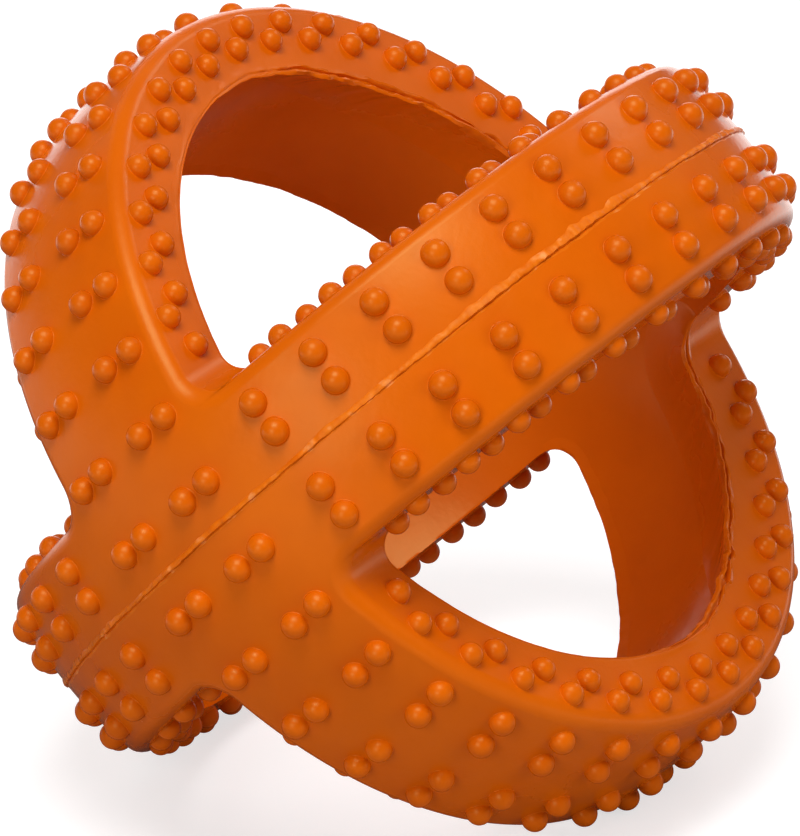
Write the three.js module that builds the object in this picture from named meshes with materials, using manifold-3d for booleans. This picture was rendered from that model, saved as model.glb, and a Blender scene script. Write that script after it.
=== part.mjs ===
import * as THREE from 'three';
import { mergeVertices } from 'three/addons/utils/BufferGeometryUtils.js';
import Module from 'manifold-3d';

const wasm = await Module();
wasm.setup();

// A studded rubber toy ball: a spherical shell cut away to two crossing bands, with four open windows.
// Mould frame: the seam band lies in the XY plane, the arches cross it at the two poles on the Y axis,
// and the two mould halves draw apart along Z. Lengths are millimetres, angles are degrees.

// Driving dimensions of the shell
const ballRadius = 50;
const wallThickness = 8.4;
const bandWidth = 22.2;
const windowCornerRadius = 3.8;
const edgeRound = 1.5;

// The ball has cooled a little out of round: its size along X, Y and Z over the mould's
const outOfRound = new THREE.Vector3(0.9892, 0.9958, 1.0034);

// Driving dimensions of the mould lines
const seamThickness = 0.6;
const seamRidgeHeight = 0.35;
const lipThickness = 0.8;
const lipHeight = 0.55;
const jointClearance = 0.02;

// Driving dimensions of the studs
const studDiameter = 3.3;
const studHeight = 1.8;
const studShoulder = 0.7;
const studRowOffset = 3.55;
const studRowPitch = 3.9;
const studStationPitch = 10;
const sideStudPitch = 4.457;
const sideStudCount = 31;
const sideStudInset = 2.85;
const sideStudZigzag = 2.4;

// Facet counts and steps
const facetAngle = 10;
const leastSpacing = facetAngle / 2;
const cornerSteps = 3;
const roundSteps = 2;
const studSides = 5;
const rootShare = 0.7;
const mergeDistance = 1e-5;
const seamSteps = 60;
const lipSteps = 10;

// Arch sections are level at the feet and have turned radial at this angle up the arch
const levelFootAngle = 50;

// Waves round the ball, with their phases, that make the squeezed-out rubber uneven
const ragWaves = [
  { count: 7, phase: 0 },
  { count: 17, phase: 1.3 },
  { count: 31, phase: 0.4 },
];
const leastRidge = 0.4;
const leastLip = 0.5;

// Places that follow from the driving dimensions
const innerRadius = ballRadius - wallThickness;
const halfWidth = bandWidth / 2;
const cornerCentre = halfWidth + windowCornerRadius;
const studRows = [studRowOffset, studRowOffset + studRowPitch];
const studRadius = studDiameter / 2;
const sideTurn = (2 * Math.PI) / studSides;
const studReach = studRadius * Math.sqrt(sideTurn / Math.sin(sideTurn));
const studRoot = wallThickness * rootShare;
const archStart = halfWidth + jointClearance;
const rubber = { color: 0xc85608, roughness: 0.5, metalness: 0 };

const radians = THREE.MathUtils.degToRad;
const degrees = THREE.MathUtils.radToDeg;

// Distance in plan, seen along the Y axis, from a point of the shell to the nearest window outline
function windowDistance(x, z) {
  const a = Math.abs(x);
  const b = Math.abs(z);
  if (a < cornerCentre && b < cornerCentre) {
    return Math.hypot(cornerCentre - a, cornerCentre - b) - windowCornerRadius;
  }
  return halfWidth - Math.min(a, b);
}

// How far from the middle of a band a point lies that is some distance in from the window outline
function offsetFromMiddle(along, distance) {
  if (along >= cornerCentre) return halfWidth - distance;
  const reach = Math.max((windowCornerRadius + distance) ** 2 - (cornerCentre - along) ** 2, 0);
  return cornerCentre - Math.sqrt(reach);
}

// Radius of the outer surface, which rolls over to the window walls
function outerRadius(x, z) {
  const distance = Math.max(windowDistance(x, z), 0);
  if (distance >= edgeRound) return ballRadius;
  return ballRadius - edgeRound + Math.sqrt(edgeRound ** 2 - (edgeRound - distance) ** 2);
}

// Distances in from the window outline at which the rounded edge has its facets
function roundDistances() {
  const distances = [];
  for (let i = 0; i <= roundSteps; i++) {
    distances.push(edgeRound * (1 - Math.cos((Math.PI / 2) * (i / roundSteps))));
  }
  return distances;
}

// Closed solid through a row of closed sections of equal point count, capped or joined end to end
function loft(sections, closed) {
  const count = sections[0].length;
  const positions = sections.flat().flatMap((point) => [point.x, point.y, point.z]);
  const index = [];
  const spans = closed ? sections.length : sections.length - 1;
  for (let s = 0; s < spans; s++) {
    const next = (s + 1) % sections.length;
    for (let i = 0; i < count; i++) {
      const j = (i + 1) % count;
      const a = s * count + i;
      const b = s * count + j;
      const c = next * count + j;
      const d = next * count + i;
      index.push(a, b, c, a, c, d);
    }
  }
  if (!closed) {
    index.push(...capTriangles(sections[0], 0, true));
    index.push(...capTriangles(sections.at(-1), (sections.length - 1) * count, false));
  }
  const geometry = new THREE.BufferGeometry();
  geometry.setAttribute('position', new THREE.Float32BufferAttribute(positions, 3));
  geometry.setIndex(index);
  return geometry;
}

// End cap of a loft whose last section lies in a plane of constant z
function capTriangles(section, first, flip) {
  const outline = section.map((point) => new THREE.Vector2(point.x, point.y));
  const faces = THREE.ShapeUtils.triangulateShape(outline, []);
  const clockwise = THREE.ShapeUtils.isClockWise(outline);
  const turned = flip !== clockwise;
  return faces.flatMap(([a, b, c]) => (turned ? [a, c, b] : [a, b, c])).map((i) => first + i);
}

// Solid for cutting and joining, from a closed geometry
function solidOf(geometry) {
  const bare = geometry.clone();
  bare.deleteAttribute('normal');
  bare.deleteAttribute('uv');
  const merged = mergeVertices(bare, mergeDistance);
  const triangles = [];
  for (let i = 0; i < merged.index.count; i += 3) {
    const [a, b, c] = [0, 1, 2].map((k) => merged.index.getX(i + k));
    if (a !== b && b !== c && c !== a) triangles.push(a, b, c);
  }
  return new wasm.Manifold(new wasm.Mesh({
    numProp: 3,
    vertProperties: new Float32Array(merged.attributes.position.array),
    triVerts: new Uint32Array(triangles),
  }));
}

// Geometry of a finished solid
function geometryOf(solid) {
  const mesh = solid.getMesh();
  const geometry = new THREE.BufferGeometry();
  geometry.setAttribute('position', new THREE.BufferAttribute(mesh.vertProperties, 3));
  geometry.setIndex(new THREE.BufferAttribute(mesh.triVerts, 1));
  geometry.computeVertexNormals();
  return geometry;
}

// One domed stud, with as much area in plan as the round one, narrowing to a root inside the wall
function studSolid() {
  const profile = [
    new THREE.Vector2(0, -studRoot),
    new THREE.Vector2(studReach, studShoulder),
    new THREE.Vector2(0, studHeight),
  ];
  return solidOf(new THREE.LatheGeometry(profile, studSides));
}

const stud = studSolid();

// A stud standing on a surface point along its normal
function studAt(point, normal) {
  const turn = new THREE.Quaternion().setFromUnitVectors(new THREE.Vector3(0, 1, 0), normal);
  const place = new THREE.Matrix4().compose(point, turn, new THREE.Vector3(1, 1, 1));
  return stud.transform(place.elements);
}

// A stud on the ball's outer surface
function outerStud(direction) {
  const normal = direction.clone().normalize();
  return studAt(normal.clone().multiplyScalar(ballRadius), normal);
}

// Point of a sphere at a height above the XY plane, at an angle round from the front pole
function ringPoint(radius, angle, height) {
  const reach = Math.sqrt(radius ** 2 - height ** 2);
  return new THREE.Vector3(reach * Math.sin(angle), -reach * Math.cos(angle), height);
}

// Angles of the side studs, counted out both ways from the middle of the arch
function sideStudAngles() {
  const last = (sideStudCount - 1) / 2;
  return Array.from({ length: sideStudCount }, (_, i) => ({
    angle: radians(90 + (i - last) * sideStudPitch),
    inner: Math.abs(i - last) % 2 === 1,
  }));
}

// Radii of the two rings that the side studs zigzag between
const outerRing = Math.sqrt(ballRadius ** 2 - halfWidth ** 2) - sideStudInset;
const innerRing = outerRing - sideStudZigzag;

// Half of the seam band, from the parting plane up to the window wall
function seamBandHalf() {
  const wallReach = Math.sqrt(ballRadius ** 2 - halfWidth ** 2);
  const cornerReach = roundDistances().map((d) => offsetFromMiddle(halfWidth, d));
  const cornerAngles = cornerReach.map((reach) => degrees(Math.asin(reach / wallReach)));
  const firstAngle = facetAngle / 2;
  const stations = [];
  for (let angle = firstAngle; angle < 90; angle += facetAngle) {
    const nearCorner = angle > cornerAngles.at(-1) - leastSpacing && angle < cornerAngles[0] + leastSpacing;
    if (!nearCorner) stations.push(angle);
  }
  stations.push(...cornerAngles);
  stations.sort((a, b) => a - b);
  const quarter = stations.map(radians);
  const halfTurn = [...quarter, ...quarter.map((a) => Math.PI - a).reverse()];
  const turn = [...halfTurn, ...halfTurn.map((a) => a + Math.PI)];

  const heights = [...roundDistances().map((d) => halfWidth - d), 0];
  const sections = turn.map((angle) => {
    const outer = heights.map((height) => {
      const x = ringPoint(ballRadius, angle, height).x;
      return ringPoint(outerRadius(x, height), angle, height);
    });
    const inner = [0, halfWidth].map((height) => ringPoint(innerRadius, angle, height));
    return [...inner, ...outer];
  });
  const band = solidOf(loft(sections, true));

  const studs = [];
  for (let angle = 2 * studStationPitch; angle <= 180 - 2 * studStationPitch; angle += studStationPitch) {
    for (const side of [-1, 1]) {
      for (const row of studRows) studs.push(outerStud(ringPoint(ballRadius, side * radians(angle), row)));
    }
  }
  for (const pole of [-1, 1]) {
    for (const row of studRows) {
      for (const side of [-1, 1]) {
        const height = ballRadius * Math.sin(radians(studStationPitch / 2));
        const depth = Math.sqrt(ballRadius ** 2 - row ** 2 - height ** 2);
        studs.push(outerStud(new THREE.Vector3(side * row, pole * depth, height)));
      }
    }
  }
  for (const { angle, inner } of sideStudAngles()) {
    const radius = inner ? innerRing : outerRing;
    for (const side of [-1, 1]) {
      const point = new THREE.Vector3(side * radius * Math.sin(angle), -radius * Math.cos(angle), halfWidth);
      studs.push(studAt(point, new THREE.Vector3(0, 0, 1)));
    }
  }
  return geometryOf(wasm.Manifold.union([band, ...studs]));
}

// Section of an arch: planes of constant height at its feet turn into radial planes higher up
function archSection(angle, upright) {
  const footHeight = ballRadius * Math.sin(angle);
  const direction = Math.cos(angle) < 0 ? 1 : -1;
  const place = (radius, x) => {
    const reach = Math.sqrt(radius ** 2 - x ** 2);
    const height = THREE.MathUtils.lerp(reach * Math.sin(angle), footHeight, upright);
    return new THREE.Vector3(x, direction * Math.sqrt(Math.max(reach ** 2 - height ** 2, 0)), height);
  };
  const wall = offsetFromMiddle(footHeight, 0);
  const side = roundDistances().map((d) => offsetFromMiddle(footHeight, d));
  const outer = [...side.map((x) => -x), 0, ...side.reverse()];
  const inner = [wall, 0, -wall];
  return [
    ...inner.map((x) => place(innerRadius, x)),
    ...outer.map((x) => place(outerRadius(x, footHeight), x)),
  ];
}

// Arch over one mould half, from the front crossing to the back one, with flared feet
function arch() {
  const footAngles = [];
  for (let i = 0; i <= cornerSteps; i++) {
    const height = cornerCentre - windowCornerRadius * Math.cos((Math.PI / 2) * (i / cornerSteps));
    footAngles.push(Math.asin(Math.max(height, archStart) / ballRadius));
  }
  const flareEnd = degrees(footAngles.at(-1));
  const quarter = footAngles.map((angle) => ({ angle, upright: 1 }));
  const first = Math.ceil((flareEnd + leastSpacing) / facetAngle) * facetAngle;
  for (let angle = first; angle <= 90; angle += facetAngle) {
    const upright = THREE.MathUtils.clamp((levelFootAngle - angle) / (levelFootAngle - flareEnd), 0, 1);
    quarter.push({ angle: radians(angle), upright });
  }
  const back = quarter.filter(({ angle }) => angle < radians(90)).reverse();
  const sections = [
    ...quarter.map(({ angle, upright }) => archSection(angle, upright)),
    ...back.map(({ angle, upright }) => archSection(Math.PI - angle, upright)),
  ];
  const band = solidOf(loft(sections, false));

  const studs = [];
  for (let angle = studStationPitch * 1.5; angle < 180 - studStationPitch; angle += studStationPitch) {
    for (const row of studRows) {
      for (const side of [-1, 1]) {
        const reach = Math.sqrt(ballRadius ** 2 - row ** 2);
        const turn = radians(angle);
        const direction = new THREE.Vector3(side * row, -reach * Math.cos(turn), reach * Math.sin(turn));
        studs.push(outerStud(direction));
      }
    }
  }
  for (const { angle, inner } of sideStudAngles()) {
    const radius = inner ? innerRing : outerRing;
    for (const side of [-1, 1]) {
      const point = new THREE.Vector3(side * halfWidth, -radius * Math.cos(angle), radius * Math.sin(angle));
      studs.push(studAt(point, new THREE.Vector3(side, 0, 0)));
    }
  }
  return geometryOf(wasm.Manifold.union([band, ...studs]));
}

// Height of the squeezed-out rubber at a place round the ball, between the least share and 1
function ragged(turn, least) {
  const sum = ragWaves.reduce((total, { count, phase }) => total + Math.sin(count * turn + phase), 0);
  const middle = (least + 1) / 2;
  return middle + ((1 - middle) * sum) / ragWaves.length;
}

// Web of rubber left between the mould halves, with its uneven ridge on the outside
function seamWeb() {
  const half = seamThickness / 2 - jointClearance;
  const sections = [];
  for (let i = 0; i < seamSteps; i++) {
    const angle = (i / seamSteps) * 2 * Math.PI;
    const ridge = ballRadius + seamRidgeHeight * ragged(angle, leastRidge);
    const outline = [[innerRadius, -half], [innerRadius, half], [ridge, half], [ridge, -half]];
    sections.push(outline.map(([radius, height]) => {
      return new THREE.Vector3(radius * Math.sin(angle), -radius * Math.cos(angle), height);
    }));
  }
  return loft(sections, true);
}

// Inner edge of one window, with the direction into the opening at each point
function windowEdge() {
  const reach = Math.sqrt(innerRadius ** 2 - halfWidth ** 2);
  const edge = [];
  const start = Math.asin(cornerCentre / reach);
  const cornerPoint = (turn, side) => {
    const x = cornerCentre - windowCornerRadius * Math.cos(turn);
    const z = cornerCentre - windowCornerRadius * Math.sin(turn);
    const y = side * Math.sqrt(innerRadius ** 2 - x ** 2 - z ** 2);
    const into = new THREE.Vector3(Math.cos(turn), 0, Math.sin(turn));
    return { point: new THREE.Vector3(x, y, z), into };
  };
  for (let i = 1; i < lipSteps; i++) {
    const angle = THREE.MathUtils.lerp(start, Math.PI - start, i / lipSteps);
    const point = new THREE.Vector3(reach * Math.sin(angle), -reach * Math.cos(angle), halfWidth);
    edge.push({ point, into: new THREE.Vector3(0, 0, 1) });
  }
  for (let i = 0; i <= cornerSteps; i++) {
    edge.push(cornerPoint((Math.PI / 2) * (1 - i / cornerSteps), 1));
  }
  for (let i = 1; i < lipSteps; i++) {
    const angle = THREE.MathUtils.lerp(Math.PI - start, start, i / lipSteps);
    const point = new THREE.Vector3(halfWidth, -reach * Math.cos(angle), reach * Math.sin(angle));
    edge.push({ point, into: new THREE.Vector3(1, 0, 0) });
  }
  for (let i = 0; i <= cornerSteps; i++) {
    edge.push(cornerPoint((Math.PI / 2) * (i / cornerSteps), -1));
  }
  return edge;
}

// Thin lip of rubber that stands into a window along its inner edge
function windowLip() {
  const edge = windowEdge();
  const sections = edge.map(({ point, into }, i) => {
    const out = point.clone().addScaledVector(into, -point.dot(into)).normalize();
    const height = lipHeight * ragged((i / edge.length) * 2 * Math.PI, leastLip);
    const base = point.clone().addScaledVector(into, jointClearance);
    return [
      base.clone().addScaledVector(out, lipThickness),
      base.clone(),
      base.clone().addScaledVector(into, height).addScaledVector(out, lipThickness / 2),
    ];
  });
  return loft(sections, true);
}

function rubberPart(name, geometry) {
  const cooled = geometry.clone().scale(outOfRound.x, outOfRound.y, outOfRound.z);
  const mesh = new THREE.Mesh(cooled, new THREE.MeshStandardMaterial(rubber));
  mesh.name = name;
  return mesh;
}

// What one mould half holds: half of the seam band, its arch, and the lips of its two windows
function mouldHalf(names) {
  const half = new THREE.Group();
  half.add(rubberPart(names.band, bandGeometry));
  half.add(rubberPart(names.arch, archGeometry));
  const right = rubberPart(names.rightLip, lipGeometry);
  const left = rubberPart(names.leftLip, lipGeometry);
  left.rotation.z = Math.PI;
  half.add(right, left);
  return half;
}

const bandGeometry = seamBandHalf();
const archGeometry = arch();
const lipGeometry = windowLip();

const upper = mouldHalf({
  band: 'seam_band_upper_half',
  arch: 'arch_upper',
  rightLip: 'window_lip_top',
  leftLip: 'window_lip_left',
});
upper.position.z = seamThickness / 2;

const lower = mouldHalf({
  band: 'seam_band_lower_half',
  arch: 'arch_lower',
  rightLip: 'window_lip_bottom',
  leftLip: 'window_lip_right',
});
lower.rotation.y = Math.PI;
lower.position.z = -seamThickness / 2;

// The toy stands on a window: both bands lean 45 degrees, and the crossings face front and back
const tilted = new THREE.Group();
tilted.rotation.y = -Math.PI / 4;
tilted.add(upper, lower, rubberPart('seam_flash', seamWeb()));

const toy = new THREE.Group();
toy.add(tilted);
toy.updateMatrixWorld(true);
tilted.position.z = -new THREE.Box3().setFromObject(toy, true).min.z;

export default toy;
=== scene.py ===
import math

import bmesh
import bpy
import numpy as np
from mathutils import Matrix, Vector


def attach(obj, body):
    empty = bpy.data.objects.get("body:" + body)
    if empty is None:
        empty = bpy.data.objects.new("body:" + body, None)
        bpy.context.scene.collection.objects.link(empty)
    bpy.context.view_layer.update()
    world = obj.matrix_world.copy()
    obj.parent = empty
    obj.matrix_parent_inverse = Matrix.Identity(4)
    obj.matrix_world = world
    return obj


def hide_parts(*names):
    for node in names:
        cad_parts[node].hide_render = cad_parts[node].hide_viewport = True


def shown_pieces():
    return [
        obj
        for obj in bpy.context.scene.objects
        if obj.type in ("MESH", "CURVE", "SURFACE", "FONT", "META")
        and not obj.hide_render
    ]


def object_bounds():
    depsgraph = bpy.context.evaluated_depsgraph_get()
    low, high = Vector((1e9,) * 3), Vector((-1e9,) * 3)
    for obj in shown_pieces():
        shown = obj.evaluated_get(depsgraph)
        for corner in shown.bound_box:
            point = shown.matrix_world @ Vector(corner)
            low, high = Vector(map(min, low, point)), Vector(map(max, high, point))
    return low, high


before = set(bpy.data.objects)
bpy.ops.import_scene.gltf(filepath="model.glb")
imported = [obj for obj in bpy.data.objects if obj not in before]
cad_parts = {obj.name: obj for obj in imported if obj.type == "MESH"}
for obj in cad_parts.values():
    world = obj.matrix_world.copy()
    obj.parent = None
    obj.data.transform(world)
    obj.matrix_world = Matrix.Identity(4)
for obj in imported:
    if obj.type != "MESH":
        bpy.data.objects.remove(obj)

# A studded rubber toy ball: a spherical shell cut away to two crossing bands.
# Everything is in metres. The forms are worked out in the mould's own frame: the seam band lies in
# its XY plane, the crossings are at the two poles on its Y axis, and the mould halves part along Z.
# The front crossing is at -Y.

cad_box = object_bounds()
BALL_CENTRE = Vector((0, 0, (cad_box[0].z + cad_box[1].z) / 2))
LEAN = math.radians(45)
TO_WORLD = Matrix.Translation(BALL_CENTRE) @ Matrix.Rotation(-LEAN, 4, "Y")

# The ball has cooled a little out of round, in the mould's frame
OUT_OF_ROUND = Matrix.Diagonal((0.9892, 0.9958, 1.0034, 1))

# Sizes of the shell, whose bands have rounded edges
BALL_RADIUS = 0.0500
WALL = 0.0084
INNER_RADIUS = BALL_RADIUS - WALL
HALF_WIDTH = 0.0111
CORNER_RADIUS = 0.0038
CORNER_CENTRE = HALF_WIDTH + CORNER_RADIUS
EDGE_ROUND = 0.0016
INNER_ROUND = 0.0003
HALF_SEAM = 0.0003

# Sizes of the studs, with the scatter between them
STUD_RADIUS = 0.00160
STUD_LIFT = 0.00018
STUD_FILLET = 0.0001
ARCH_STUD_SIZE = 0.96
SIDE_STUD_SIZE = 0.91
SIZE_SPREAD = 0.015

# Places of the studs, with pitches and stations in degrees
STUD_ROWS = (0.00355, 0.00745)
STATION_PITCH = 10
FIRST_STATION = 2 * STATION_PITCH
ARCH_FIRST_STATION = 1.5 * STATION_PITCH
ARCH_STATIONS = 180 // STATION_PITCH - 2
SIDE_PITCH = 4.457
SIDE_COUNT = 31
SIDE_INSET = 0.00285
SIDE_ZIGZAG = 0.0024
OUTER_RING = math.sqrt(BALL_RADIUS**2 - HALF_WIDTH**2) - SIDE_INSET
INNER_RING = OUTER_RING - SIDE_ZIGZAG

# Lengths below TINY count as none, and points within MERGE_DISTANCE as one
TINY = 1e-9
MERGE_DISTANCE = 1e-8

rng = np.random.default_rng(11)


# The rubber's form


def unit(vectors):
    """Rows of vectors, each scaled to length one."""
    return vectors / np.maximum(np.linalg.norm(vectors, axis=1), TINY)[:, None]


def window_distance(x, z):
    """Distance in plan, seen along Y, from a point of the shell to the nearest window outline."""
    a, b = np.abs(x), np.abs(z)
    corner = np.hypot(CORNER_CENTRE - a, CORNER_CENTRE - b) - CORNER_RADIUS
    return np.where((a < CORNER_CENTRE) & (b < CORNER_CENTRE), corner, HALF_WIDTH - np.minimum(a, b))


def away_from_window(x, z):
    """Unit direction in plan in which the distance to the nearest window outline grows."""
    a, b = np.abs(x), np.abs(z)
    corner = (a < CORNER_CENTRE) & (b < CORNER_CENTRE)
    reach = np.maximum(np.hypot(CORNER_CENTRE - a, CORNER_CENTRE - b), TINY)
    dx = np.where(corner, -(CORNER_CENTRE - a) / reach, np.where(a < b, -1.0, 0.0))
    dz = np.where(corner, -(CORNER_CENTRE - b) / reach, np.where(a < b, 0.0, -1.0))
    return np.stack([dx * np.sign(x), np.zeros_like(dx), dz * np.sign(z)], -1)


def offset_from_middle(along, distance):
    """How far from a band's middle a point lies that is some distance in from the window outline."""
    if along >= CORNER_CENTRE:
        return HALF_WIDTH - distance
    reach = max((CORNER_RADIUS + distance) ** 2 - (CORNER_CENTRE - along) ** 2, 0)
    return CORNER_CENTRE - math.sqrt(reach)


def outer_radius(distance):
    """Radius of the outer surface, which rolls over into the window walls."""
    into = np.clip(distance, 0, EDGE_ROUND)
    return BALL_RADIUS - EDGE_ROUND + np.sqrt(EDGE_ROUND**2 - (EDGE_ROUND - into) ** 2)


def inner_radius(distance):
    """Radius of the inner surface, with its small round at the window walls."""
    into = np.clip(distance, 0, INNER_ROUND)
    return INNER_RADIUS + INNER_ROUND - np.sqrt(INNER_ROUND**2 - (INNER_ROUND - into) ** 2)


def shell_normals(points):
    """Normals of the bare shell at points on its surface."""
    radius = np.linalg.norm(points, axis=1)
    radial = points / radius[:, None]
    distance = np.clip(window_distance(points[:, 0], points[:, 2]), 0, None)
    wall = -away_from_window(points[:, 0], points[:, 2])
    outside = radius > (BALL_RADIUS + INNER_RADIUS) / 2
    rounding = np.where(outside, EDGE_ROUND, INNER_ROUND)
    across = np.clip(rounding - distance, 0, None)
    up_outer = radius - (BALL_RADIUS - EDGE_ROUND)
    up_inner = INNER_RADIUS + INNER_ROUND - radius
    up = np.clip(np.where(outside, up_outer, up_inner), 0, None)
    facing = np.where(outside, 1.0, -1.0)[:, None] * radial
    flat = distance >= rounding
    mixed = np.where(flat[:, None], facing, across[:, None] * wall + up[:, None] * facing)
    on_wall = np.linalg.norm(mixed, axis=1) < TINY
    mixed[on_wall] = wall[on_wall]
    return unit(mixed)


# Meshes


def strip_mesh(name, sections, closed):
    """Closed mesh through a row of closed sections, joined end to end or capped."""
    rows, count = len(sections), len(sections[0])
    faces = []
    for s in range(rows if closed else rows - 1):
        here, there = s * count, ((s + 1) % rows) * count
        for i in range(count):
            j = (i + 1) % count
            faces.append((here + i, here + j, there + j, there + i))
    if not closed:
        faces.append(tuple(range(count))[::-1])
        faces.append(tuple(range((rows - 1) * count, rows * count)))
    mesh = bpy.data.meshes.new(name)
    mesh.from_pydata(np.concatenate(sections).tolist(), [], faces)
    bm = bmesh.new()
    bm.from_mesh(mesh)
    bmesh.ops.remove_doubles(bm, verts=bm.verts, dist=MERGE_DISTANCE)
    bmesh.ops.recalc_face_normals(bm, faces=bm.faces)
    bm.to_mesh(mesh)
    bm.free()
    return mesh


def add_object(name, data):
    """Object in the scene that holds a mesh, camera or lamp."""
    thing = bpy.data.objects.new(name, data)
    bpy.context.scene.collection.objects.link(thing)
    return thing


def coordinates(mesh):
    """Places of a mesh's vertices, a row for each."""
    flat = np.empty(len(mesh.vertices) * 3)
    mesh.vertices.foreach_get("co", flat)
    return flat.reshape(-1, 3)


def put(piece, turn, node):
    """Places a finished piece in the shared frame, under the root body, and hides the imported part that
    it stands for.
    """
    piece.data.transform(TO_WORLD @ OUT_OF_ROUND @ turn)
    piece.data.update()
    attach(piece, "root")
    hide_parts(node)


# Studs: a dome whose centre is lifted off the shell, on a small fillet that sinks into the rubber

ARC_REACH = math.sqrt((STUD_RADIUS + STUD_FILLET) ** 2 - (STUD_FILLET - STUD_LIFT) ** 2)
CONTACT_HEIGHT = STUD_LIFT + STUD_RADIUS * (STUD_FILLET - STUD_LIFT) / (STUD_RADIUS + STUD_FILLET)
CONTACT_REACH = STUD_RADIUS * ARC_REACH / (STUD_RADIUS + STUD_FILLET)
FOOT_DROP = ARC_REACH**2 / (2 * BALL_RADIUS)
STUD_TOP = STUD_LIFT + STUD_RADIUS
STUD_SIDES = 32
DOME_STEPS = 10
FILLET_STEPS = 3
STUD_SINK = 0.0006
RIM = 0.0001

# Points that take a stud's normal: how near to it, how high over the shell, and how high on its dome
STUD_NEAR = ARC_REACH + 5 * RIM
RAISED_FROM = RIM / 10
DOME_FROM = CONTACT_HEIGHT - 1e-6

# An axis with a larger share of Y than this takes its sides from X
NEAR_Y = 0.9


def stud_profile():
    """Reach from the axis and height over the surface, from the sunk rim up to the top."""
    profile = [(ARC_REACH + RIM, -STUD_SINK), (ARC_REACH + RIM, -RIM)]
    contact = math.atan2(ARC_REACH, STUD_FILLET - STUD_LIFT)
    for i in range(FILLET_STEPS + 1):
        turn = contact * i / FILLET_STEPS
        height = STUD_FILLET * (1 - math.cos(turn))
        profile.append((ARC_REACH - STUD_FILLET * math.sin(turn), height))
    start = math.atan2(CONTACT_REACH, CONTACT_HEIGHT - STUD_LIFT)
    for i in range(1, DOME_STEPS):
        turn = start * (1 - i / DOME_STEPS)
        profile.append((STUD_RADIUS * math.sin(turn), STUD_LIFT + STUD_RADIUS * math.cos(turn)))
    return profile


PROFILE = stud_profile()


def square_to(axis):
    """Two directions square to an axis."""
    helper = np.array([0.0, 1.0, 0.0]) if abs(axis[1]) < NEAR_Y else np.array([1.0, 0.0, 0.0])
    side = np.cross(helper, axis)
    side /= np.linalg.norm(side)
    return side, np.cross(axis, side)


def stud_mesh(name, studs):
    """All the studs of one group, each a closed dome with a filleted foot."""
    turns = np.linspace(0, 2 * math.pi, STUD_SIDES, endpoint=False)
    vertices, faces = [], []
    for place, axis, size in studs:
        side, other = square_to(axis)
        circle = np.cos(turns)[:, None] * side + np.sin(turns)[:, None] * other
        first = len(vertices)
        vertices.append(place - axis * STUD_SINK * size)
        for reach, height in PROFILE:
            vertices.extend(place + size * (axis * height + reach * circle))
        vertices.append(place + axis * STUD_TOP * size)
        last = len(vertices) - 1
        low, high = first + 1, last - STUD_SIDES
        for i in range(STUD_SIDES):
            j = (i + 1) % STUD_SIDES
            faces.append((first, low + j, low + i))
            faces.append((last, high + i, high + j))
            for row in range(len(PROFILE) - 1):
                here, above = low + row * STUD_SIDES, low + (row + 1) * STUD_SIDES
                faces.append((here + i, here + j, above + j, above + i))
    mesh = bpy.data.meshes.new(name)
    mesh.from_pydata([tuple(v) for v in vertices], [], faces)
    return mesh


def stud_normals(points, normals, studs):
    """Replaces the normals of points that lie on studs by the studs' own."""
    result = normals.copy()
    for place, axis, size in studs:
        offset = (points - place) / size
        near = np.flatnonzero((offset**2).sum(1) < STUD_NEAR**2)
        if not len(near):
            continue
        height = offset[near] @ axis
        out = offset[near] - height[:, None] * axis
        reach = np.linalg.norm(out, axis=1)
        dome = offset[near] - axis * STUD_LIFT
        fillet = (ARC_REACH - reach)[:, None] * unit(out) + (STUD_FILLET - height)[:, None] * axis
        chosen = unit(np.where((height > DOME_FROM)[:, None], dome, fillet))
        raised = (height > RAISED_FROM) & (reach < ARC_REACH)
        result[near[raised]] = chosen[raised]
    return result


def about(size):
    """A size that is a little larger or smaller at random."""
    return size * (1 + SIZE_SPREAD * rng.uniform(-1, 1))


def stud_on_sphere(direction, size=1.0):
    """Place, axis and size of a stud that stands on the ball in some direction."""
    axis = np.asarray(direction, float)
    axis = axis / np.linalg.norm(axis)
    return axis * (BALL_RADIUS - FOOT_DROP), axis, about(size)


def stud_on_wall(place, axis):
    """Place, axis and size of a stud that stands on a flat side wall."""
    return np.array(place), np.array(axis, float), about(SIDE_STUD_SIZE)


def side_places():
    """Zigzag along a side wall: whether a stud is on the inner ring, how far from Y it is, and its Y."""
    last = (SIDE_COUNT - 1) // 2
    places = []
    for i in range(-last, last + 1):
        inner = i % 2 == 1
        radius = INNER_RING if inner else OUTER_RING
        angle = math.radians(90 + i * SIDE_PITCH)
        places.append((inner, radius * math.sin(angle), -radius * math.cos(angle)))
    return places


def seam_band_studs():
    """The studs of half of the seam band, in two groups that don't touch."""
    groups = ([], [])
    for angle in range(FIRST_STATION, 180 - FIRST_STATION + 1, STATION_PITCH):
        for side in (-1, 1):
            for group, row in zip(groups, STUD_ROWS):
                reach = math.sqrt(BALL_RADIUS**2 - row**2)
                turn = side * math.radians(angle)
                group.append(stud_on_sphere((reach * math.sin(turn), -reach * math.cos(turn), row)))
    height = BALL_RADIUS * math.sin(math.radians(STATION_PITCH / 2))
    for pole in (-1, 1):
        for group, row in zip(groups, STUD_ROWS):
            for side in (-1, 1):
                depth = math.sqrt(BALL_RADIUS**2 - row**2 - height**2)
                group.append(stud_on_sphere((side * row, pole * depth, height)))
    for inner, reach, y in side_places():
        for side in (-1, 1):
            groups[inner].append(stud_on_wall((side * reach, y, HALF_WIDTH), (0, 0, 1)))
    return groups


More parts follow.
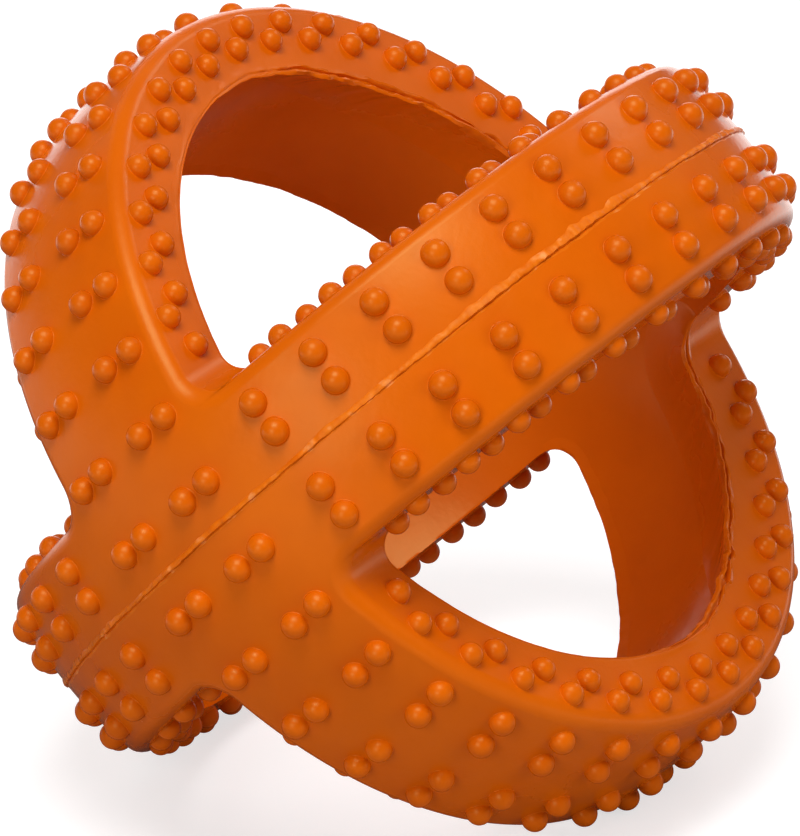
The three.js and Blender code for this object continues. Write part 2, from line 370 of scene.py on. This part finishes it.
def arch_studs():
    """The studs of one arch, in two groups that don't touch."""
    groups = ([], [])
    for station in range(ARCH_STATIONS):
        angle = math.radians(ARCH_FIRST_STATION + STATION_PITCH * station)
        for group, row in zip(groups, STUD_ROWS):
            for side in (-1, 1):
                reach = math.sqrt(BALL_RADIUS**2 - row**2)
                direction = (side * row, -reach * math.cos(angle), reach * math.sin(angle))
                group.append(stud_on_sphere(direction, ARCH_STUD_SIZE))
    for inner, reach, y in side_places():
        for side in (-1, 1):
            groups[inner].append(stud_on_wall((side * HALF_WIDTH, y, reach), (side, 0, 0)))
    return groups


# Bands

BAND_SECTIONS = 360
ROUND_STEPS = 6
INNER_ROUND_STEPS = 2
OUTER_STEPS = 10
WALL_STEPS = 8
INNER_STEPS = 9

# An arch's sections are level at its feet, and have turned square to it at LEVEL_END
FOOT_STEPS = 8
RISE_STEPS = 66
LEVEL_END = math.radians(50)


def round_distances(rounding, steps):
    """Distances in from the window outline at which a rounded edge has its points."""
    return [rounding * (1 - math.cos(math.pi / 2 * i / steps)) for i in range(steps + 1)]


OUTER_DISTANCES = round_distances(EDGE_ROUND, ROUND_STEPS)
INNER_DISTANCES = round_distances(INNER_ROUND, INNER_ROUND_STEPS)
WALL_RADII = np.linspace(BALL_RADIUS - EDGE_ROUND, INNER_RADIUS + INNER_ROUND, WALL_STEPS)[1:-1]


def at_height(radius, angle, height):
    """Points at some radius and height, at an angle round Z from the front crossing."""
    reach = np.sqrt(radius**2 - height**2)
    return np.stack([reach * math.sin(angle), -reach * math.cos(angle), height], -1)


def seam_band_mesh(name):
    """Half of the seam band, from the parting plane up to the window wall."""
    outer = np.array(
        [*np.linspace(0, HALF_WIDTH - EDGE_ROUND, OUTER_STEPS, endpoint=False)]
        + [HALF_WIDTH - d for d in reversed(OUTER_DISTANCES)]
    )
    inner = np.array(
        [HALF_WIDTH - d for d in INNER_DISTANCES]
        + [*np.linspace(HALF_WIDTH - INNER_ROUND, 0, INNER_STEPS)[1:]]
    )
    wall = np.full(len(WALL_RADII), HALF_WIDTH)
    sections = []
    for angle in np.radians((np.arange(BAND_SECTIONS) + 0.5) * 360 / BAND_SECTIONS):
        outer_x = np.sqrt(BALL_RADIUS**2 - outer**2) * math.sin(angle)
        inner_x = np.sqrt(INNER_RADIUS**2 - inner**2) * math.sin(angle)
        sections.append(np.concatenate([
            at_height(outer_radius(window_distance(outer_x, outer)), angle, outer),
            at_height(WALL_RADII, angle, wall),
            at_height(inner_radius(window_distance(inner_x, inner)), angle, inner),
        ]))
    return strip_mesh(name, sections, True)


def arch_section(angle, upright):
    """Section of an arch, level where upright is 1 and square to the arch where it is 0."""
    foot = BALL_RADIUS * math.sin(angle)
    direction = 1 if math.cos(angle) < 0 else -1
    outer = [offset_from_middle(foot, d) for d in OUTER_DISTANCES]
    flat = list(np.linspace(outer[-1], -outer[-1], 2 * OUTER_STEPS + 1)[1:-1])
    outer_x = np.array(outer + flat + [-x for x in reversed(outer)])
    inner = [offset_from_middle(foot, d) for d in INNER_DISTANCES]
    flat = list(np.linspace(-inner[-1], inner[-1], 2 * INNER_STEPS - 1)[1:-1])
    inner_x = np.array([-x for x in inner] + flat + list(reversed(inner)))
    edge = np.full(len(WALL_RADII), offset_from_middle(foot, 0))

    def place(radius, x):
        reach = np.sqrt(radius**2 - x**2)
        height = upright * foot + (1 - upright) * reach * math.sin(angle)
        depth = np.sqrt(np.maximum(reach**2 - height**2, 0))
        return np.stack([x, direction * depth, height], -1)

    return np.concatenate([
        place(outer_radius(window_distance(outer_x, np.full_like(outer_x, foot))), outer_x),
        place(WALL_RADII, -edge),
        place(inner_radius(window_distance(inner_x, np.full_like(inner_x, foot))), inner_x),
        place(WALL_RADII[::-1], edge),
    ])


def arch_mesh(name):
    """Arch over one mould half, with flared feet on the walls of the seam band."""
    quarter = []
    for i in range(FOOT_STEPS + 1):
        height = CORNER_CENTRE - CORNER_RADIUS * math.cos(math.pi / 2 * i / FOOT_STEPS)
        quarter.append((math.asin(height / BALL_RADIUS), 1.0))
    flare_end = quarter[-1][0]
    for angle in np.linspace(flare_end, math.pi / 2, RISE_STEPS)[1:]:
        upright = (LEVEL_END - angle) / (LEVEL_END - flare_end)
        quarter.append((angle, min(max(upright, 0.0), 1.0)))
    sections = [arch_section(angle, upright) for angle, upright in quarter]
    back = [arch_section(math.pi - angle, upright) for angle, upright in reversed(quarter[:-1])]
    return strip_mesh(name, sections + back, False)


def fuse(piece, groups):
    """Joins the groups of studs to a band and gives every vertex the normal of its form."""
    for number, group in enumerate(groups):
        tool = add_object(f"studs_{number}", stud_mesh(f"studs_{number}", group))
        modifier = piece.modifiers.new("fuse", "BOOLEAN")
        modifier.operation = "UNION"
        modifier.solver = "MANIFOLD"
        modifier.object = tool
        bpy.context.view_layer.update()
        evaluated = piece.evaluated_get(bpy.context.evaluated_depsgraph_get())
        mesh = bpy.data.meshes.new_from_object(evaluated)
        piece.modifiers.clear()
        piece.data = mesh
        bpy.data.objects.remove(tool)
    points = coordinates(piece.data)
    normals = shell_normals(points)
    for group in groups:
        normals = stud_normals(points, normals, group)
    piece.data.shade_smooth()
    piece.data.normals_split_custom_set_from_vertices(normals.tolist())


# Uneven edges, with lengths counted in points of the line

# Rubber that is squeezed out ends this far under the surface, or thins out to a film on it
BURIED = 0.00003
FILM = 0.00001

# How fast a noise loses its short waves
SMOOTHING = 8


def wander(count, length):
    """Smooth noise of about unit size round a closed line, which changes over a length in points."""
    fade = np.exp(-SMOOTHING * (np.fft.rfftfreq(count) * length) ** 2)
    smooth = np.fft.irfft(np.fft.rfft(rng.standard_normal(count)) * fade, count)
    return smooth / smooth.std()


def uneven(count, lengths):
    """Sum of noises of several lengths, of about unit size."""
    return sum(wander(count, length) for length in lengths) / math.sqrt(len(lengths))


def varied(count, lengths, mean, swing, least, most, extra=0.0):
    """Share for each point of a line, which wanders about a mean, plus an extra, within limits."""
    return np.clip(mean + swing * uneven(count, lengths) + extra, least, most)


# Parting line: rubber squeezed out on both sides of a crack, most of it on the upper side

SEAM_STATIONS = 2400
SEAM_RISE = 0.00034
SEAM_SPREAD = 0.00032
CRACK_PLACE = -0.0001
CRACK_SWAY = 0.00004
CRACK_WIDTH = 0.00010
CRACK_WIDTH_SWING = 0.00002
CRACK_WIDTH_TORN = 0.00006
CRACK_DEPTH = 0.00006
CREST_PLACE = 0.00016
WEB_RADIUS = BALL_RADIUS - 3 * BURIED
SEAM_CREASE = math.radians(50)

# Where the line is torn: how uneven that is, and its share in the lower side and in the crack
TORN_SWING = 0.5
TORN_BELOW = 0.3
TORN_DEEPER = 0.8

# Points of its section: share of the rise, and share of the way from the crack out to the edge
LOWER_SLOPE = ((0.6, 0.62), (1.0, 0.25))
UPPER_SLOPE = ((0.75, 0.55), (0.35, 0.85))

# Shares of the rise at the two lips of the crack
LOWER_BRINK = 0.7
UPPER_BRINK = 0.9

# Torn stretches of the parting line: middle and half length in degrees round the seam band from the
# front crossing, and how much wider the squeezed-out rubber is there
TORN = (
    (-56, 7, 0.8), (-21, 5, 0.9), (24, 3, 0.6), (52, 9, 0.9),
    (70, 8, 1.2), (141, 6, 0.9), (203, 9, 0.8), (265, 5, 1.0),
)


def torn_share(angles):
    """Extra width of the squeezed-out rubber at each angle round the seam band."""
    extra = np.zeros(len(angles))
    for middle, half_length, share in TORN:
        away = (np.degrees(angles) - middle + 180) % 360 - 180
        extra += share * np.exp(-((away / half_length) ** 2))
    return extra


def seam_mesh(name):
    """Web between the mould halves and the ragged rubber squeezed out of the parting line."""
    count = SEAM_STATIONS
    angles = np.linspace(0, 2 * math.pi, count, endpoint=False)
    torn = torn_share(angles) * (1 + TORN_SWING * uneven(count, (6, 20)))
    upper_rise = SEAM_RISE * varied(count, (2, 4, 60), mean=0.85, swing=0.2, least=0.35, most=1.3)
    upper_spread = SEAM_SPREAD * varied(
        count, (8, 22, 90), mean=1, swing=0.3, least=0.4, most=3.5, extra=torn
    )
    lower_rise = SEAM_RISE * varied(count, (6, 18, 80), mean=0.1, swing=0.08, least=0.02, most=0.3)
    lower_spread = SEAM_SPREAD * varied(
        count, (8, 30), mean=0.5, swing=0.35, least=0.1, most=2, extra=TORN_BELOW * torn
    )
    crack = CRACK_PLACE + CRACK_SWAY * uneven(count, (2, 16, 50))
    crack_width = CRACK_WIDTH + CRACK_WIDTH_SWING * uneven(count, (7, 25)) + CRACK_WIDTH_TORN * torn
    depth = CRACK_DEPTH * varied(
        count, (10, 40), mean=1, swing=0.25, least=0.4, most=2.4, extra=TORN_DEEPER * torn
    )

    def slope(shares, rise, edge, split):
        return [(BALL_RADIUS + rise * up, edge * way + split * (1 - way)) for up, way in shares]

    sections = []
    for i, angle in enumerate(angles):
        low, high = -HALF_SEAM - lower_spread[i], HALF_SEAM + upper_spread[i]
        outline = [
            (INNER_RADIUS, -HALF_SEAM),
            (WEB_RADIUS, -HALF_SEAM),
            (BALL_RADIUS - BURIED, low),
            *slope(LOWER_SLOPE, lower_rise[i], low, crack[i]),
            (BALL_RADIUS + lower_rise[i] * LOWER_BRINK, crack[i] - crack_width[i]),
            (BALL_RADIUS - depth[i], crack[i]),
            (BALL_RADIUS + upper_rise[i] * UPPER_BRINK, crack[i] + crack_width[i]),
            (BALL_RADIUS + upper_rise[i], crack[i] + CREST_PLACE),
            *slope(UPPER_SLOPE, upper_rise[i], high, crack[i]),
            (BALL_RADIUS - BURIED, high),
            (WEB_RADIUS, HALF_SEAM),
            (INNER_RADIUS, HALF_SEAM),
        ]
        sections.append(np.array([(r * math.sin(angle), -r * math.cos(angle), z) for r, z in outline]))
    return strip_mesh(name, sections, True)


# Lips of the windows: torn rubber along the inner edges, over a groove in the wall

LIP_ALONG = 420
LIP_CORNER = 16
LIP_HEIGHT = 0.0006
LIP_HEIGHT_SWING = 0.12
LIP_RISE = 0.0004
LIP_SWAY = 0.00013
GROOVE_LEAST = 0.00012
GROOVE_WIDTH = 0.00034
FADE_LENGTH = 0.0006
LIP_CREASE = math.radians(60)

# Share of the lip on the seam band's walls, and in the windows where it is faint
LEAST_LIP = 0.12
FAINT_LIP = 0.4

# On an arch's walls the lip and the extra depth start at these places and grow toward the back
LIP_FROM = -0.010
DEPTH_FROM = 0.003
GROWS_OVER = 0.020
EXTRA_DEPTH = 0.0021

# The lip's back blends into the inner surface: how far back it starts, and with how many points
LIP_BASE = 0.0030
LIP_RAMP = 0.0075
RAMP_STEPS = (0, 0.2, 0.4, 0.6, 0.75, 0.88)
RAMP_POWER = 1.6
RAMP_INSET = 0.0002

# Section of the lip, in shares of its rise and height, and of the groove, in steps from its sides
BULGE_HEIGHT = 0.35
BRINK_SHARE = 0.9
BRINK_STEP = 0.0001
GROOVE_DEPTH = 0.7
GROOVE_STEP = 0.00004
ROLL_START_SHARE = 0.8
ROLL_START = 0.00003
ROLL_CREST = 0.00014
ROLL_FALL_SHARE = 0.45
ROLL_FALL = 0.0001
FILM_STARTS = (0.00014, 0.0002)
FILM_END = 0.0003
LEAST_FILM_END = 0.0004


def window_edge():
    """Inner edge of one window and the direction into the opening at each point."""
    reach = math.sqrt(INNER_RADIUS**2 - HALF_WIDTH**2)
    start = math.asin(CORNER_CENTRE / reach)
    edge = []

    def corner(turn, side):
        x = CORNER_CENTRE - CORNER_RADIUS * math.cos(turn)
        z = CORNER_CENTRE - CORNER_RADIUS * math.sin(turn)
        y = side * math.sqrt(INNER_RADIUS**2 - x**2 - z**2)
        return np.array([x, y, z]), np.array([math.cos(turn), 0, math.sin(turn)])

    for i in range(1, LIP_ALONG):
        angle = start + (math.pi - 2 * start) * i / LIP_ALONG
        place = np.array([reach * math.sin(angle), -reach * math.cos(angle), HALF_WIDTH])
        edge.append((place, np.array([0.0, 0.0, 1.0])))
    for i in range(LIP_CORNER + 1):
        edge.append(corner(math.pi / 2 * (1 - i / LIP_CORNER), 1))
    for i in range(1, LIP_ALONG):
        angle = math.pi - start - (math.pi - 2 * start) * i / LIP_ALONG
        place = np.array([HALF_WIDTH, -reach * math.cos(angle), reach * math.sin(angle)])
        edge.append((place, np.array([1.0, 0.0, 0.0])))
    for i in range(LIP_CORNER + 1):
        edge.append(corner(math.pi / 2 * i / LIP_CORNER, -1))
    return edge


def lip_mesh(name, front_side, deep):
    """Lip with a groove along a window's inner edge, where a deep wall reaches further in at the back.

    front_side is 1 or -1: the side of the origin, along the window's own Y, that the front is on.
    """
    edge = window_edge()
    count = len(edge)
    on_arch = np.array([into[0] for point, into in edge])
    back = np.array([-front_side * point[1] for point, into in edge])
    grown = np.clip((back - LIP_FROM) / GROWS_OVER, 0, 1)
    share = (LEAST_LIP + (1 - LEAST_LIP) * grown * on_arch) * (1 if deep else FAINT_LIP)
    extra = deep * EXTRA_DEPTH * np.clip((back - DEPTH_FROM) / GROWS_OVER, 0, 1) * on_arch
    height = LIP_HEIGHT * share * (1 + LIP_HEIGHT_SWING * uneven(count, (4, 16)))
    inner_rise = LIP_RISE * share * varied(count, (3, 9, 30), mean=0.7, swing=0.3, least=0.2, most=1.5)
    outer_rise = LIP_RISE * share * varied(count, (4, 11, 36), mean=0.6, swing=0.35, least=0.1, most=1.4)
    sway = LIP_SWAY * share * uneven(count, (3, 7, 18, 50))
    groove = GROOVE_LEAST + GROOVE_WIDTH * share * varied(
        count, (6, 22), mean=1, swing=0.45, least=0.3, most=2
    )
    fade = FADE_LENGTH * varied(count, (7, 25), mean=1, swing=0.35, least=0.3, most=2)
    base = LIP_BASE + LIP_RAMP * extra / EXTRA_DEPTH
    sections = []
    for i, (point, into) in enumerate(edge):
        across = point @ into
        out = point - into * across
        reach = np.linalg.norm(out)
        out /= reach
        line = sway[i] - extra[i]
        top = line - height[i]
        wall = line + groove[i]
        film_end = max(wall + FILM_END + fade[i], LEAST_FILM_END)
        outline = []
        for t in RAMP_STEPS:
            away = base[i] * (1 - t)
            shell = math.sqrt(INNER_RADIUS**2 - (across - away) ** 2) - reach
            outline.append((-away, shell + RAMP_INSET * (1 - t) + top * t**RAMP_POWER))
        outline += [
            (0, top),
            (inner_rise[i], top + height[i] * BULGE_HEIGHT),
            (inner_rise[i] * BRINK_SHARE, line - BRINK_STEP),
            (-GROOVE_DEPTH * inner_rise[i], line),
            (-GROOVE_DEPTH * inner_rise[i], wall - GROOVE_STEP),
            (outer_rise[i] * ROLL_START_SHARE, wall + ROLL_START),
            (outer_rise[i], wall + ROLL_CREST),
            (outer_rise[i] * ROLL_FALL_SHARE, wall + ROLL_FALL + fade[i] / 2),
            *[(FILM, wall + step + fade[i]) for step in FILM_STARTS],
            (FILM, film_end),
            (-BURIED, film_end),
        ]
        sections.append(np.array([point + into * a + out * b for a, b in outline]))
    return strip_mesh(name, sections, True)


# Burrs of torn rubber at the feet of studs, on the side that faces the parting line

BURR_SHARE = 0.45
BURR_REACH = (0.00008, 0.00032)
BURR_HALF_WIDTH = (0.0002, 0.0005)
BURR_THICKNESS = 0.00016
BURR_TURN = 0.7
BURR_INSET = 0.0001

# No burr where the axis leans more than this toward the window, as on a side wall
BURR_LEAN = 0.5

# Corners of a burr in shares of its reach, half width and thickness, under and over the surface
BURR_CORNERS = ((0, -1, -1), (0, 1, -1), (1, 0, -0.3), (0, -0.7, 4), (0, 0.5, 3), (0.7, 0, 1.2))
BURR_FACES = ((0, 2, 1), (3, 4, 5), (0, 1, 4, 3), (1, 2, 5, 4), (2, 0, 3, 5))


def burr(place, axis, size):
    """Points of one burr, a small ragged wedge that leans on the foot of a stud."""
    toward = np.array([0.0, 0.0, -1.0]) + axis * axis[2]
    toward /= np.linalg.norm(toward)
    turn = rng.uniform(-BURR_TURN, BURR_TURN)
    aim = toward * math.cos(turn) + np.cross(axis, toward) * math.sin(turn)
    foot = place + aim * size * (STUD_RADIUS - BURR_INSET)
    along = aim * rng.uniform(*BURR_REACH)
    across = np.cross(axis, aim) * rng.uniform(*BURR_HALF_WIDTH)
    up = axis * BURR_THICKNESS
    return [foot + along * a + across * b + up * c for a, b, c in BURR_CORNERS]


def burrs_mesh(name, studs):
    """Closed wedges at the feet of some of the studs."""
    vertices, faces = [], []
    for place, axis, size in studs:
        if rng.uniform() > BURR_SHARE or axis[2] > BURR_LEAN:
            continue
        faces.extend([len(vertices) + i for i in face] for face in BURR_FACES)
        vertices.extend(burr(place, axis, size))
    mesh = bpy.data.meshes.new(name)
    mesh.from_pydata([tuple(v) for v in vertices], [], faces)
    return mesh


# Rubber: a slightly yellow gloss that sharpens at grazing angles, a fine grain and faint flow marks

SPECULAR_LEVEL = 0.3
SPECULAR_TINT = (0.9, 1.0, 0.4, 1)
TONE_DETAIL = 4
FINE_DETAIL = 3
GLOSS_SCALE = 260
GLOSSIER = 0.03
DULLER = 0.05
SLANT_BLEND = 0.5
SLANT_FROM = 0.45
SLANT_TO = 0.95
SLANT_SHARE = 0.4
GRAIN_SCALE = 1500
GRAIN_STRENGTH = 0.22
GRAIN_DEPTH = 0.0001
FLOW_SCALE = 160
FLOW_STRETCH = (1, 1, 0.4)
FLOW_STRENGTH = 0.25
FLOW_DEPTH = 0.0004

# Where a noise is low and high, for the two ends of a colour ramp
LOW_NOISE = 0.3
HIGH_NOISE = 0.75

# Tones, scale of their noise and roughness of the moulded surface and of torn rubber. The torn rubber's
# tones are lighter and yellower than the moulded ones: partly the paler colour of torn rubber, partly a
# painted highlight for the light that the parting line's ridge catches from above
MOULDED_TONES = ((LOW_NOISE, (0.66, 0.107, 0.0002)), (HIGH_NOISE, (0.73, 0.129, 0.0004)))
MOULDED_SCALE = 90
MOULDED_ROUGHNESS = 0.33
TORN_AND_HIGHLIGHT_TONES = (
    (0.32, (0.70, 0.122, 0.0006)),
    (0.58, (0.78, 0.160, 0.0030)),
    (0.72, (0.86, 0.290, 0.0800)),
)
TORN_SCALE = 620
TORN_ROUGHNESS = 0.45


def rubber_material(name, tone_scale, tones, roughness):
    """Orange rubber: uneven in tone, with a fine grain and faint flow marks in its surface."""
    material = bpy.data.materials.new(name)
    material.use_nodes = True
    nodes, links = material.node_tree.nodes, material.node_tree.links
    shader = nodes["Principled BSDF"]
    shader.inputs["Specular IOR Level"].default_value = SPECULAR_LEVEL
    shader.inputs["Specular Tint"].default_value = SPECULAR_TINT
    coords = nodes.new("ShaderNodeTexCoord")

    def noise(scale, detail, stretch=(1, 1, 1)):
        mapping = nodes.new("ShaderNodeMapping")
        mapping.inputs["Scale"].default_value = stretch
        texture = nodes.new("ShaderNodeTexNoise")
        texture.inputs["Scale"].default_value = scale
        texture.inputs["Detail"].default_value = detail
        links.new(coords.outputs["Object"], mapping.inputs["Vector"])
        links.new(mapping.outputs["Vector"], texture.inputs["Vector"])
        return texture.outputs["Fac"]

    def ramp(value, stops):
        node = nodes.new("ShaderNodeValToRGB")
        elements = node.color_ramp.elements
        for element, (position, color) in zip(elements, stops):
            element.position = position
            element.color = (*color, 1)
        for position, color in stops[2:]:
            elements.new(position).color = (*color, 1)
        links.new(value, node.inputs["Fac"])
        return node.outputs["Color"]

    def bump(height, strength, depth, under=None):
        node = nodes.new("ShaderNodeBump")
        node.inputs["Strength"].default_value = strength
        node.inputs["Distance"].default_value = depth
        links.new(height, node.inputs["Height"])
        if under:
            links.new(under, node.inputs["Normal"])
        return node.outputs["Normal"]

    links.new(ramp(noise(tone_scale, TONE_DETAIL), tones), shader.inputs["Base Color"])
    gloss = ((LOW_NOISE, (roughness - GLOSSIER,) * 3), (HIGH_NOISE, (roughness + DULLER,) * 3))
    slant = nodes.new("ShaderNodeLayerWeight")
    slant.inputs["Blend"].default_value = SLANT_BLEND
    sleek = nodes.new("ShaderNodeMapRange")
    sleek.inputs["From Min"].default_value = SLANT_FROM
    sleek.inputs["From Max"].default_value = SLANT_TO
    sleek.inputs["To Min"].default_value = 1
    sleek.inputs["To Max"].default_value = SLANT_SHARE
    links.new(slant.outputs["Facing"], sleek.inputs["Value"])
    product = nodes.new("ShaderNodeMath")
    product.operation = "MULTIPLY"
    links.new(ramp(noise(GLOSS_SCALE, FINE_DETAIL), gloss), product.inputs[0])
    links.new(sleek.outputs["Result"], product.inputs[1])
    links.new(product.outputs["Value"], shader.inputs["Roughness"])
    grain = bump(noise(GRAIN_SCALE, FINE_DETAIL), GRAIN_STRENGTH, GRAIN_DEPTH)
    flow = bump(noise(FLOW_SCALE, FINE_DETAIL, FLOW_STRETCH), FLOW_STRENGTH, FLOW_DEPTH, under=grain)
    links.new(flow, shader.inputs["Normal"])
    return material


# The ball's pieces

# Each is made for the upper mould half or the top window, and then turned over or spun to its place
UPPER = Matrix.Translation((0, 0, HALF_SEAM))
LOWER = Matrix.Translation((0, 0, -HALF_SEAM)) @ Matrix.Rotation(math.pi, 4, "Y")
SPIN = Matrix.Rotation(math.pi, 4, "Z")
WINDOWS = (("top", UPPER), ("left", UPPER @ SPIN), ("bottom", LOWER), ("right", LOWER @ SPIN))
SPUN = ("left", "right")
DEEP = ("top", "right")

for word, turn in (("upper", UPPER), ("lower", LOWER)):
    band = add_object(f"rubber_seam_band_{word}", seam_band_mesh("band"))
    studs = seam_band_studs()
    fuse(band, studs)
    put(band, turn, f"seam_band_{word}_half")
    burrs = add_object(f"stud_burrs_{word}", burrs_mesh("burrs", studs[0] + studs[1]))
    put(burrs, turn, f"seam_band_{word}_half")
    arch = add_object(f"rubber_arch_{word}", arch_mesh("arch"))
    fuse(arch, arch_studs())
    put(arch, turn, f"arch_{word}")

seam = add_object("parting_flash", seam_mesh("seam"))
seam.data.shade_smooth()
seam.data.set_sharp_from_angle(angle=SEAM_CREASE)
put(seam, Matrix.Identity(4), "seam_flash")

for word, turn in WINDOWS:
    front_side = 1 if word in SPUN else -1
    lip = add_object(f"core_lip_{word}", lip_mesh("lip", front_side, word in DEEP))
    lip.data.shade_smooth()
    lip.data.set_sharp_from_angle(angle=LIP_CREASE)
    put(lip, turn, f"window_lip_{word}")

rubber = rubber_material("orange_rubber", MOULDED_SCALE, MOULDED_TONES, MOULDED_ROUGHNESS)
# The parting line's rubber is painted lighter: partly paler torn rubber, partly a painted highlight
torn_and_highlight_rubber = rubber_material("orange_rubber_torn_and_highlight", TORN_SCALE, TORN_AND_HIGHLIGHT_TONES, TORN_ROUGHNESS)
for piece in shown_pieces():
    piece.data.materials.clear()
    piece.data.materials.append(torn_and_highlight_rubber if piece == seam else rubber)

# Floor: its own tone and the glow it adds for the camera, and, only in mirrored views, a darker tone and
# a glow beyond some distance from the ball, which the rubber's gloss shows as a painted reflection

FLOOR_HALF = 3.0
FLOOR_TONE = 0.51
FLOOR_ROUGHNESS = 0.9
FLOOR_LIFT = 0.65
MIRRORED_TONE = 0.1
MIRRORED_LIFT = 1.2
MIRRORED_FROM = 0.15
MIRRORED_FULL = 0.23


def floor_material():
    """White paper for the camera, which sends less light back up to the ball than it shows."""
    material = bpy.data.materials.new("white_floor")
    material.use_nodes = True
    nodes, links = material.node_tree.nodes, material.node_tree.links
    shader = nodes["Principled BSDF"]
    shader.inputs["Roughness"].default_value = FLOOR_ROUGHNESS
    shader.inputs["Specular IOR Level"].default_value = 0.0
    ray = nodes.new("ShaderNodeLightPath")
    tone = nodes.new("ShaderNodeMix")
    tone.data_type = "RGBA"
    tone.inputs["A"].default_value = (FLOOR_TONE, FLOOR_TONE, FLOOR_TONE, 1)
    tone.inputs["B"].default_value = (MIRRORED_TONE, MIRRORED_TONE, MIRRORED_TONE, 1)
    links.new(ray.outputs["Is Glossy Ray"], tone.inputs["Factor"])
    links.new(tone.outputs["Result"], shader.inputs["Base Color"])
    shader.inputs["Emission Color"].default_value = (1, 1, 1, 1)

    def combine(operation, a, b):
        node = nodes.new("ShaderNodeMath")
        node.operation = operation
        for socket, value in zip(node.inputs, (a, b)):
            if isinstance(value, float):
                socket.default_value = value
            else:
                links.new(value, socket)
        return node.outputs["Value"]

    coords = nodes.new("ShaderNodeTexCoord")
    distance = nodes.new("ShaderNodeVectorMath")
    distance.operation = "LENGTH"
    links.new(coords.outputs["Object"], distance.inputs[0])
    beyond = nodes.new("ShaderNodeMapRange")
    beyond.inputs["From Min"].default_value = MIRRORED_FROM
    beyond.inputs["From Max"].default_value = MIRRORED_FULL
    links.new(distance.outputs["Value"], beyond.inputs["Value"])
    seen = combine("MULTIPLY", ray.outputs["Is Camera Ray"], FLOOR_LIFT)
    # Glow that only mirrored views see, beyond some distance from the ball: a painted reflection in the
    # rubber's gloss
    mirrored = combine("MULTIPLY", ray.outputs["Is Glossy Ray"], MIRRORED_LIFT)
    mirrored = combine("MULTIPLY", mirrored, beyond.outputs["Result"])
    links.new(combine("ADD", seen, mirrored), shader.inputs["Emission Strength"])
    return material


floor_mesh = bpy.data.meshes.new("floor")
signs = ((-1, -1), (1, -1), (1, 1), (-1, 1))
floor_mesh.from_pydata([(x * FLOOR_HALF, y * FLOOR_HALF, 0) for x, y in signs], [], [(0, 1, 2, 3)])
floor_mesh.materials.append(floor_material())
floor = add_object("floor", floor_mesh)

# Camera, as fitted to the studs and the outline in the photograph

PICTURE = (800, 836)
EYE_TURN = Vector((-0.2512, -1.74805, -1.11125))
EYE_DISTANCE = 0.907
FOCAL_PIXELS = 7969
CENTRE_PIXEL = (406.07, 410.33)
SENSOR = 36.0
NEAR_CLIP = 0.01
FAR_CLIP = 50


def aim_camera():
    """Camera at the photograph's viewing angle, turned from the mould's front crossing."""
    turn = Matrix.Rotation(EYE_TURN.length, 3, EYE_TURN.normalized())
    pole = Vector((0, -1, 0))
    across = Vector((math.sqrt(0.5), 0, math.sqrt(0.5)))
    upward = Vector((-math.sqrt(0.5), 0, math.sqrt(0.5)))
    rows = [turn[k][0] * pole + turn[k][1] * across + turn[k][2] * upward for k in range(3)]
    data = bpy.data.cameras.new("camera")
    camera = add_object("camera", data)
    basis = Matrix(rows).transposed()
    camera.matrix_world = Matrix.Translation(BALL_CENTRE + rows[2] * EYE_DISTANCE) @ basis.to_4x4()
    long_side = max(PICTURE)
    data.sensor_width = SENSOR
    data.lens = FOCAL_PIXELS / long_side * SENSOR
    data.shift_x = (PICTURE[0] / 2 - CENTRE_PIXEL[0]) / long_side
    data.shift_y = (CENTRE_PIXEL[1] - PICTURE[1] / 2) / long_side
    data.clip_start = NEAR_CLIP
    data.clip_end = FAR_CLIP
    bpy.context.scene.camera = camera


aim_camera()

# Light: lamps at a fixed distance round the ball, and a faint even light from the world

LAMP_DISTANCE = 1.3
WORLD_STRENGTH = 0.08


def add_lamp(name, azimuth, elevation, size, power, mirrored=True):
    """Square lamp aimed at the ball, at an azimuth counted from the front to the right."""
    data = bpy.data.lights.new(name, "AREA")
    data.energy = power
    data.size = size
    lamp = add_object(name, data)
    lamp.visible_glossy = mirrored
    a, e = math.radians(azimuth), math.radians(elevation)
    direction = Vector((math.cos(e) * math.sin(a), -math.cos(e) * math.cos(a), math.sin(e)))
    lamp.location = BALL_CENTRE + LAMP_DISTANCE * direction
    lamp.rotation_euler = (-direction).to_track_quat("-Z", "Y").to_euler()


add_lamp("overhead", azimuth=18, elevation=70, size=0.7, power=12.4)
add_lamp("front", azimuth=2, elevation=21, size=0.55, power=4.4)
add_lamp("low", azimuth=5, elevation=8, size=0.28, power=1.1, mirrored=False)
add_lamp("right", azimuth=90, elevation=18, size=0.6, power=4.3, mirrored=False)
add_lamp("back_left", azimuth=-125, elevation=24, size=0.8, power=7.4, mirrored=False)
add_lamp("back", azimuth=180, elevation=20, size=0.9, power=3.4, mirrored=False)
add_lamp("window", azimuth=-150, elevation=12, size=0.48, power=1.3)
add_lamp("rim", azimuth=165, elevation=42, size=0.3, power=1.35)

world = bpy.data.worlds.new("world")
bpy.context.scene.world = world
world.use_nodes = True
background = world.node_tree.nodes["Background"]
background.inputs["Color"].default_value = (1, 1, 1, 1)
background.inputs["Strength"].default_value = WORLD_STRENGTH

bpy.context.scene.view_settings.view_transform = "Standard"
